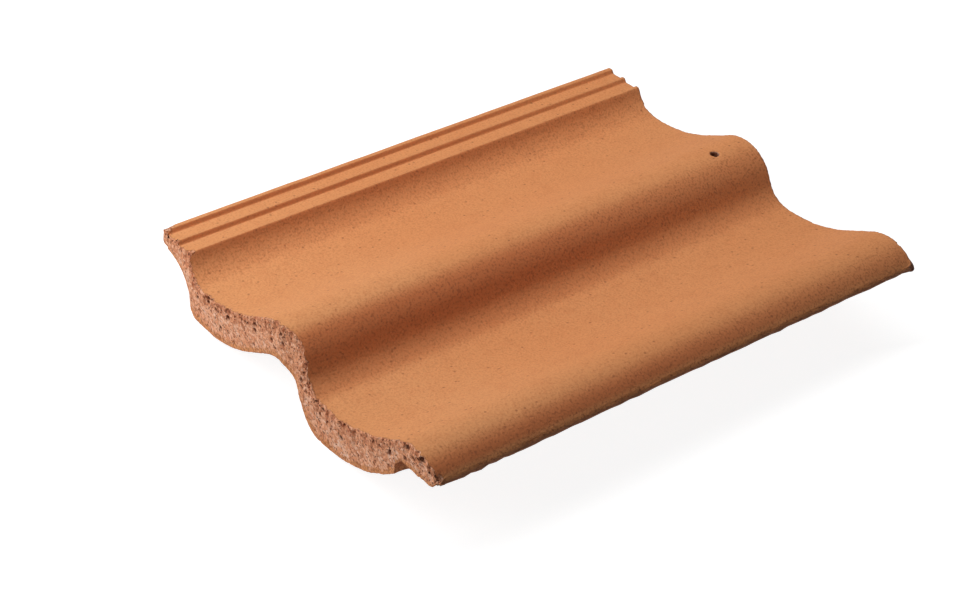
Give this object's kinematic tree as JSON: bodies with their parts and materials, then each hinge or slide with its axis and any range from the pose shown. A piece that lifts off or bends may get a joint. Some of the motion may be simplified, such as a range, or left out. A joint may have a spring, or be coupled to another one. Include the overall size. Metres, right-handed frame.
{
  "type": "interlocking double wave roof tile",
  "caption": "Moulded concrete roof tile with a double wave, a ribbed side lock, an overlapping edge, foot ribs, hanging nibs and a nail hole.",
  "frame": {"origin": "on the floor under the middle of the tile, level with the undersides of the nibs and foot ribs", "axes": "+Y runs up the roof from the tail to the head, +X from the side lock to the overlapping edge, +Z out of the weathered face"},
  "size_m": [0.332, 0.42, 0.066],
  "materials": {
    "concrete": "matt through-coloured concrete with a fine sandy skin and torn, coarse ends"
  },
  "bodies": {
    "root": {"interlocking_tile": "concrete"}
  },
  "joints": []
}
